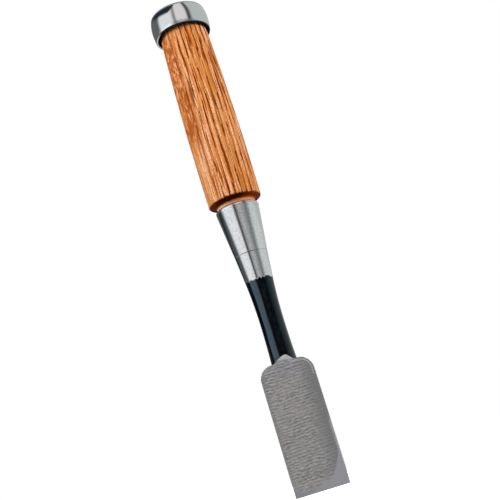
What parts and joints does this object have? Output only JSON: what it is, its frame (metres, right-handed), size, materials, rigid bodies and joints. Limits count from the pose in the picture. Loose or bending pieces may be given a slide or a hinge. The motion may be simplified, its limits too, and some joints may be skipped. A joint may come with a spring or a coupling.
{
  "type": "mortise chisel",
  "caption": "Struck wood chisel with a hollow-ground flat back, black lacquered neck, conical steel ferrule and a hooped hardwood handle.",
  "frame": {"origin": "on the tool's axis at the height of the cutting edge, the bottom of the tool held upright as it chops", "axes": "+Z runs from the cutting edge up the tool's axis to the struck end; the flat hollow-ground back faces -Y and the cutting bevel faces +Y; +X is along the cutting edge"},
  "size_m": [0.0292, 0.0292, 0.238],
  "materials": {
    "steel_ground": "cross-ground with coarse marks, lapped along the edge",
    "iron_forged": "glossy black lacquer on the neck, ground bare on the collar and the blade",
    "steel_satin": "satin",
    "oak": "clear lacquered red oak, straight grained",
    "steel_polished": "polished"
  },
  "bodies": {
    "root": {"cutting_steel": "steel_ground", "forged_shank": "iron_forged", "ferrule": "steel_satin", "handle": "oak", "hoop": "steel_polished"}
  },
  "joints": []
}
